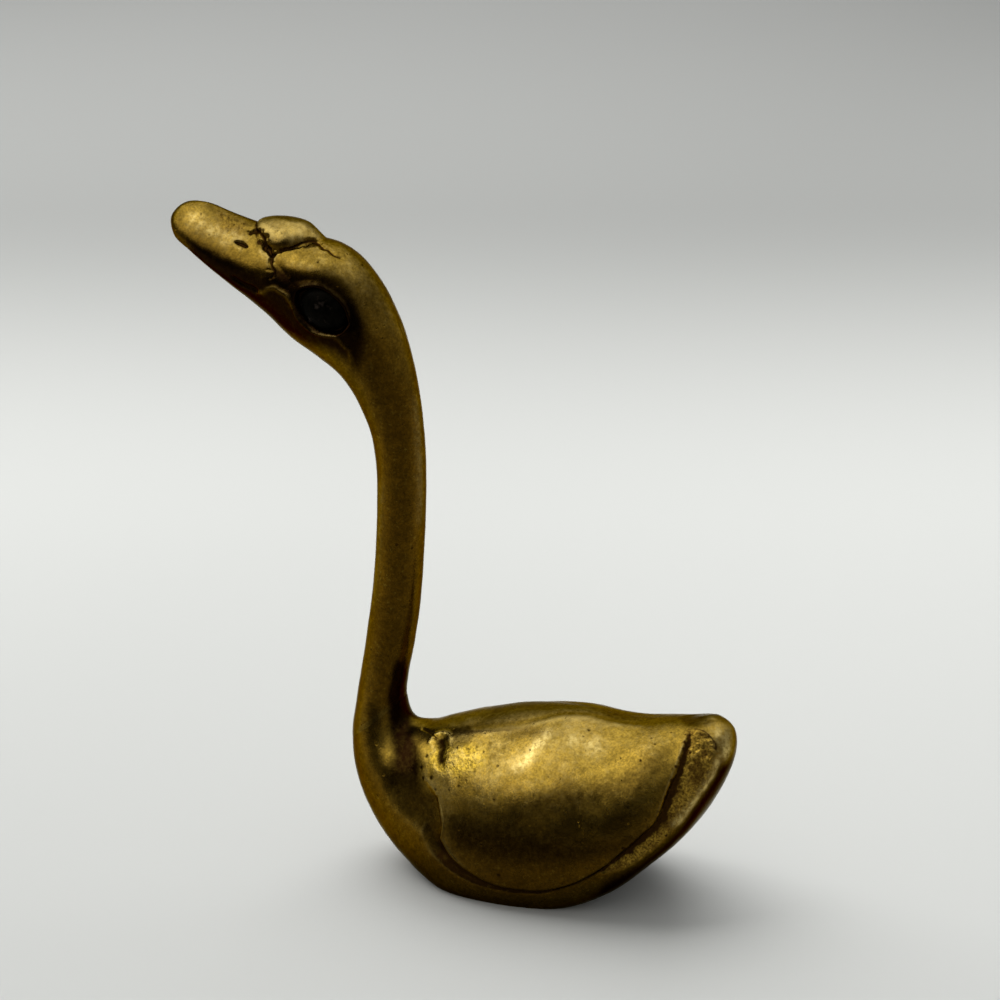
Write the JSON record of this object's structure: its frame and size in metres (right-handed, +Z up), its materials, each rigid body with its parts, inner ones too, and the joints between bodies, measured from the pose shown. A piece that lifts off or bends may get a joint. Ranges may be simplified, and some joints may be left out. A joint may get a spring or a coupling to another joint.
{
  "type": "goose figurine",
  "caption": "Cast brass goose ornament with a tall slender neck and upturned head: hollow body casting on a flat foot, solid neck and head brazed on, dark inlaid eyes",
  "frame": {"origin": "middle of the bounding box's underside, on the table plane under the bird", "axes": "+Z up, +X towards the tail so the bill points along -X, -Y is the bird's left side, in millimetres in the source and metres in the row"},
  "size_m": [0.1076, 0.0378, 0.1211],
  "materials": {
    "aged_brass": "cast and hand-filed brass, polished on the high surfaces, brown patina in the grooves, fine casting pits",
    "braze_filler": "rough yellow brazing filler dressed flush with the neck",
    "dark_eye": "opaque green-black glass with a gloss"
  },
  "bodies": {
    "root": {"body_casting": "aged_brass", "neck_and_head_casting": "aged_brass", "neck_braze_band": "braze_filler", "eye_left": "dark_eye", "eye_right": "dark_eye"}
  },
  "joints": []
}
